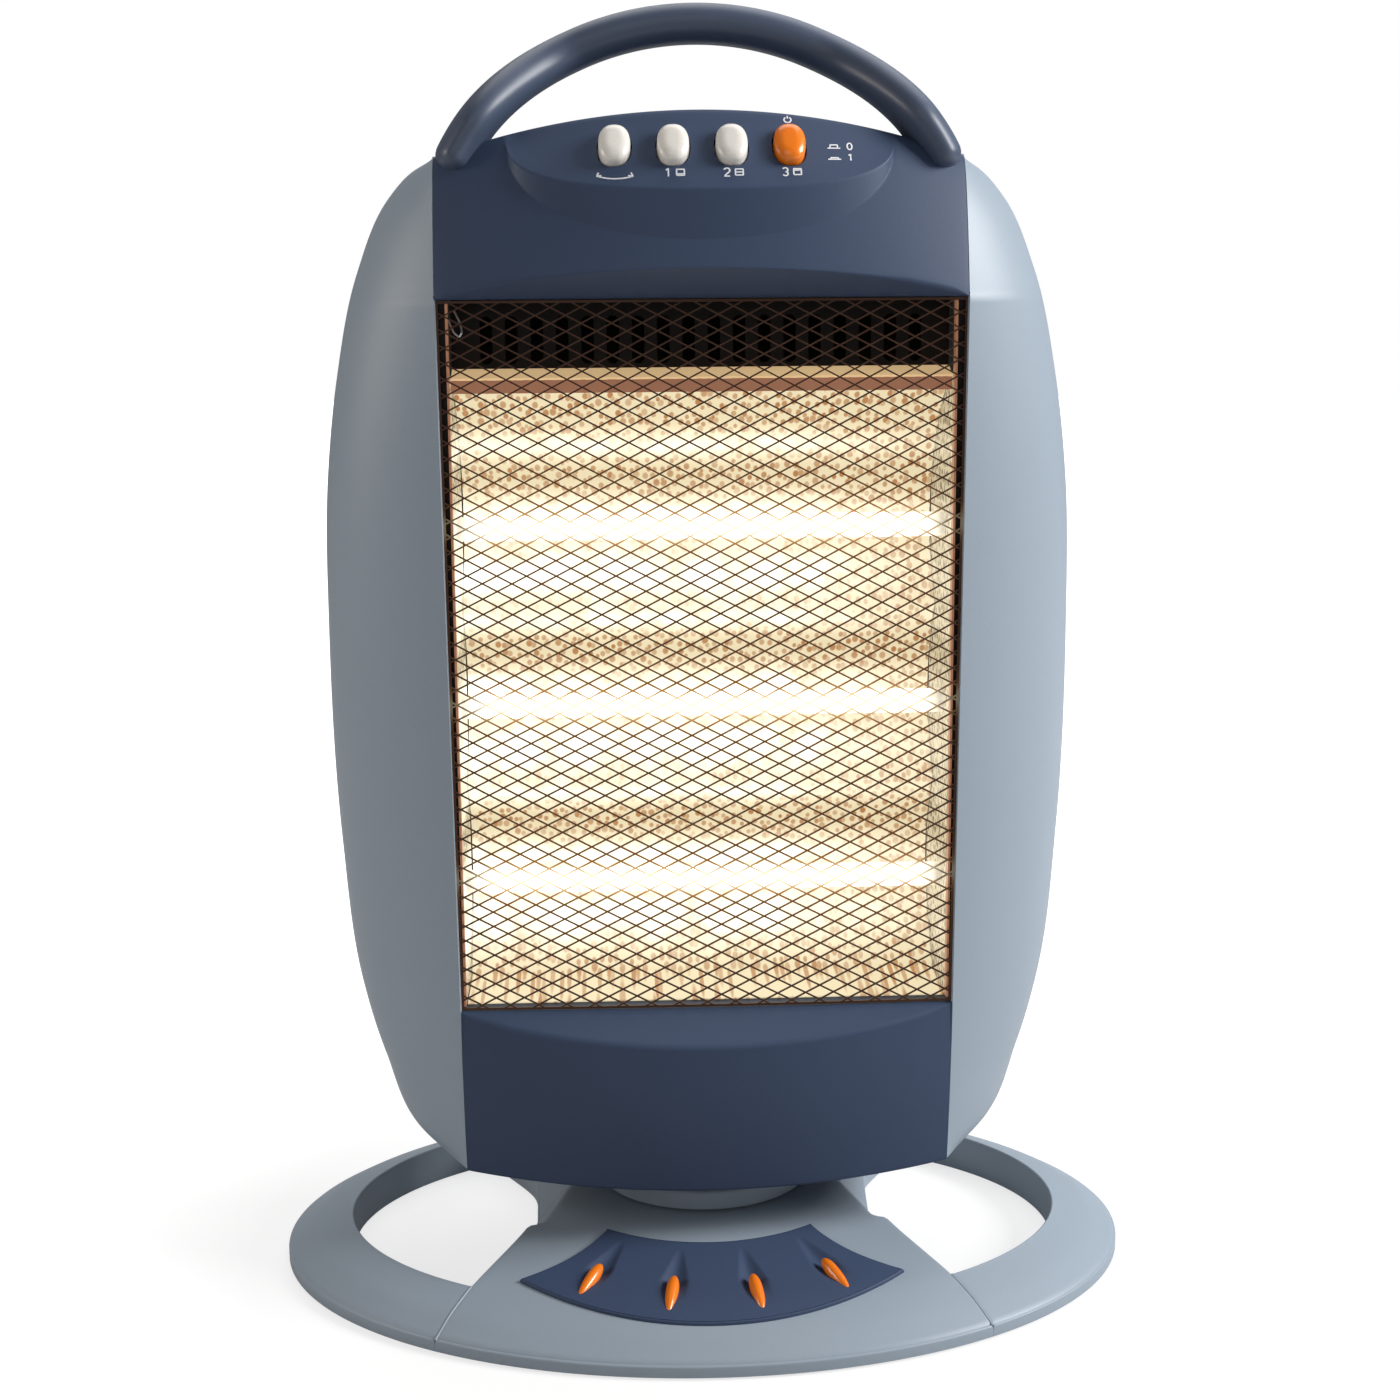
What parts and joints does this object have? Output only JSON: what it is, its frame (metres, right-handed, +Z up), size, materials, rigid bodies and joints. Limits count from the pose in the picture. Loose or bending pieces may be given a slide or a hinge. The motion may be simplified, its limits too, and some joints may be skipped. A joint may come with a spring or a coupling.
{
  "type": "halogen heater",
  "caption": "Free-standing halogen heater: quartz tubes before a troughed reflector behind a diamond guard, push buttons, arched handle, head that swivels on an oval ring base.",
  "frame": {"origin": "on the floor, on the swivel axis, which is the centre of the oval base", "axes": "+Z up, front of the heater towards -Y, +X to the right of someone who faces it"},
  "size_m": [0.372, 0.272, 0.5377],
  "materials": {
    "dark_plastic": "dark blue-grey moulded plastic with a fine spark-eroded grain",
    "pale_plastic": "light grey-blue moulded plastic, satin",
    "handle_plastic": "blue-grey moulded plastic, satin",
    "ivory_plastic": "ivory push button, glossy",
    "orange_plastic": "orange moulded plastic, glossy",
    "foot_rubber": "black soft rubber",
    "steel": "zinc-plated steel",
    "dark_steel": "dark brown heat-resisting paint",
    "reflector_sheet": "hammered aluminium, lit warm by the tubes",
    "quartz": "clear quartz",
    "filament": "glowing tungsten",
    "cap_ceramic": "unglazed ceramic",
    "guard_wire": "bronze-brown plated wire, warm sheen",
    "black_plastic": "black moulded plastic",
    "white_plastic": "white acetal"
  },
  "bodies": {
    "base": {"base_bridge": "pale_plastic", "base_wing_left": "pale_plastic", "base_wing_right": "pale_plastic", "base_insert": "dark_plastic", "accent_1": "orange_plastic", "accent_2": "orange_plastic", "accent_3": "orange_plastic", "accent_4": "orange_plastic", "foot_1": "foot_rubber", "foot_2": "foot_rubber", "foot_3": "foot_rubber", "foot_4": "foot_rubber", "base_weight_plate": "steel", "swivel_spindle": "steel", "spindle_nut": "steel", "crank_yoke": "steel", "wear_washer": "white_plastic", "cord_gland": "black_plastic", "tip_switch": "black_plastic", "wing_screw_1": "steel", "wing_screw_2": "steel", "wing_screw_3": "steel", "wing_screw_4": "steel"},
    "head": {"turntable": "pale_plastic", "bottom_front_cover": "dark_plastic", "bottom_rear_cover": "dark_plastic", "top_front_cover": "dark_plastic", "top_rear_cover": "dark_plastic", "side_shell_left": "pale_plastic", "side_shell_right": "pale_plastic", "rear_panel": "dark_steel", "vent_plate": "dark_steel", "reflector": "reflector_sheet", "reflector_end_left": "reflector_sheet", "reflector_end_right": "reflector_sheet", "handle": "handle_plastic", "grille": "guard_wire", "switch_block": "black_plastic", "swivel_motor": "steel", "motor_bracket": "steel", "thermal_cutout": "black_plastic", "quartz_tube_1": "quartz", "filament_1": "filament", "tube_cap_left_1": "cap_ceramic", "tube_cap_right_1": "cap_ceramic", "quartz_tube_2": "quartz", "filament_2": "filament", "tube_cap_left_2": "cap_ceramic", "tube_cap_right_2": "cap_ceramic", "quartz_tube_3": "quartz", "filament_3": "filament", "tube_cap_left_3": "cap_ceramic", "tube_cap_right_3": "cap_ceramic"},
    "crank": {"crank": "white_plastic"},
    "tip_plunger": {"tip_plunger": "white_plastic"},
    "button_1": {"button_1": "ivory_plastic"},
    "button_2": {"button_2": "ivory_plastic"},
    "button_3": {"button_3": "ivory_plastic"},
    "button_4": {"button_4": "orange_plastic"}
  },
  "joints": [
    {"name": "head_swivel", "type": "hinge", "parent": "base", "child": "head", "pos_m": [0, 0, 0.037], "axis": [0, 0, 1], "range_deg": [-35, 35]},
    {"name": "crank_spin", "type": "hinge", "parent": "head", "child": "crank", "pos_m": [0, 0.024, 0.069], "axis": [0, 0, 1], "range_deg": [-90.5, 90.5]},
    {"name": "tip_plunger_slide", "type": "slide", "parent": "base", "child": "tip_plunger", "axis": [0, 0, 1], "range_m": [-0.005, 0], "stiffness_N_per_m": 40, "springref_m": -0.012},
    {"name": "button_1_press", "type": "slide", "parent": "head", "child": "button_1", "axis": [0, 0.777, -0.6295], "range_m": [0, 0.004], "stiffness_N_per_m": 300, "springref_m": -0.004},
    {"name": "button_2_press", "type": "slide", "parent": "head", "child": "button_2", "axis": [0, 0.777, -0.6295], "range_m": [0, 0.004], "stiffness_N_per_m": 300, "springref_m": -0.004},
    {"name": "button_3_press", "type": "slide", "parent": "head", "child": "button_3", "axis": [0, 0.777, -0.6295], "range_m": [0, 0.004], "stiffness_N_per_m": 300, "springref_m": -0.004},
    {"name": "button_4_press", "type": "slide", "parent": "head", "child": "button_4", "axis": [0, 0.777, -0.6295], "range_m": [0, 0.004], "stiffness_N_per_m": 300, "springref_m": -0.004}
  ],
  "couplings": [
    {"joint": "crank_spin", "follows": "head_swivel", "ratio": -2.5714}
  ]
}
